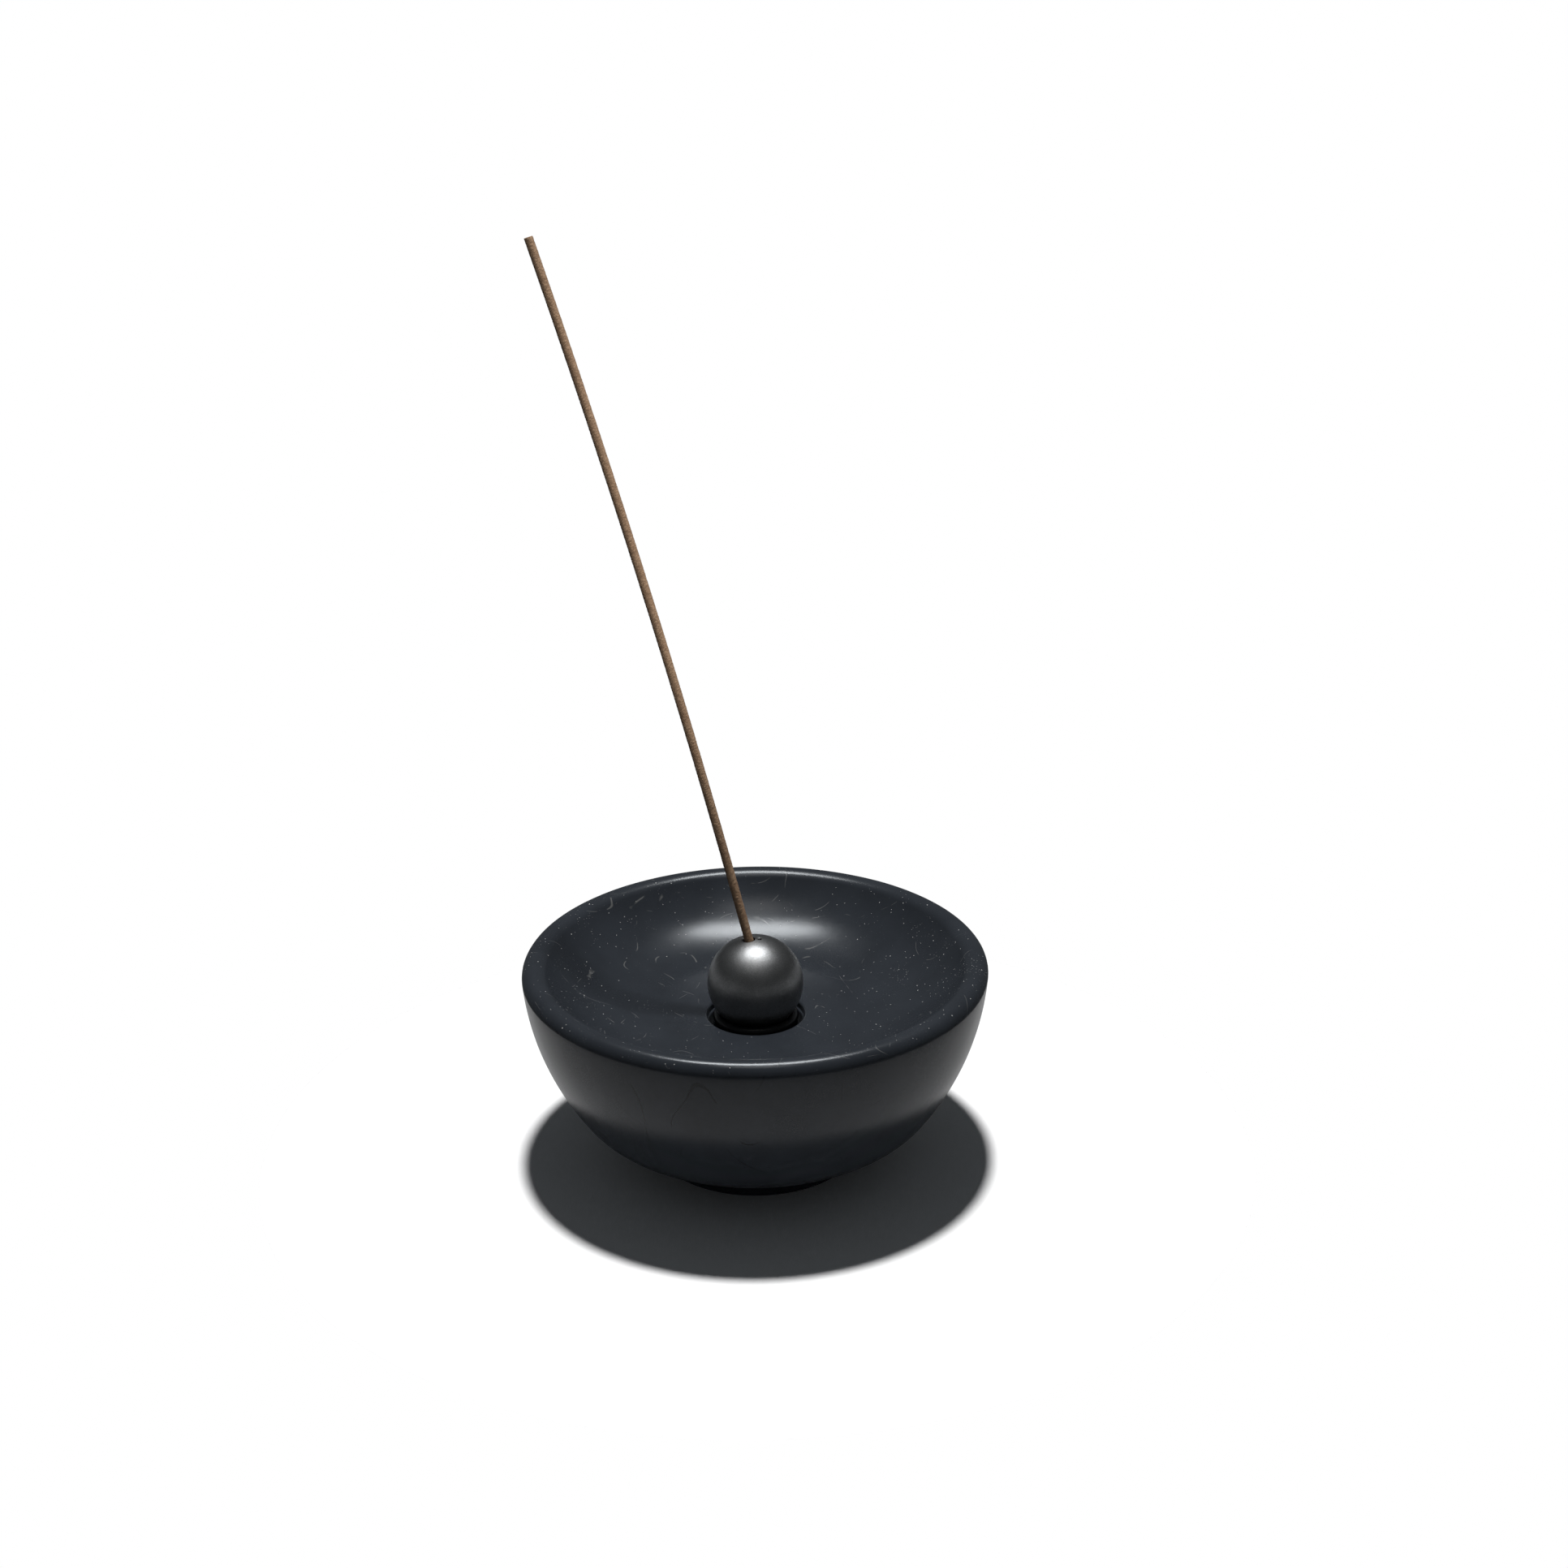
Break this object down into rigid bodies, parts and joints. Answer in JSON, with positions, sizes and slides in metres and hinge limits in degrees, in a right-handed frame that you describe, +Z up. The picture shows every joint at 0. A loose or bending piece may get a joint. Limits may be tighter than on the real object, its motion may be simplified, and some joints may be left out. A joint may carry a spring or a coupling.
{
  "type": "incense burner",
  "caption": "Round black glazed incense dish with a steel ball seated in its floor, which holds a leaning incense stick over the dish.",
  "frame": {"origin": "middle of the flat face under the foot, on the dish's own axis", "axes": "+Z up along the dish's axis; the stick leans towards -X and a little towards +Y; -Y is the front"},
  "size_m": [0.097, 0.097, 0.1903],
  "materials": {
    "dish_glaze": "satin",
    "pad_felt": "matte",
    "seat_rubber": "satin",
    "ball_steel": "satin",
    "incense": "matte"
  },
  "bodies": {
    "dish": {"dish_body": "dish_glaze", "base_pad": "pad_felt"},
    "seat": {"seat_ring": "seat_rubber"},
    "ball": {"ball": "ball_steel"},
    "stick": {"incense_stick": "incense"}
  },
  "joints": [
    {"name": "seat_lift", "type": "slide", "parent": "dish", "child": "seat", "axis": [0, 0, 1], "range_m": [0, 0.02]},
    {"name": "ball_tilt", "type": "hinge", "parent": "seat", "child": "ball", "pos_m": [0, 0, 0.03872], "axis": [-0.4924, -0.8704, 0], "range_deg": [-36, 30]},
    {"name": "stick_pull", "type": "slide", "parent": "ball", "child": "stick", "axis": [-0.2355, 0.1332, 0.9627], "range_m": [0, 0.014]}
  ]
}
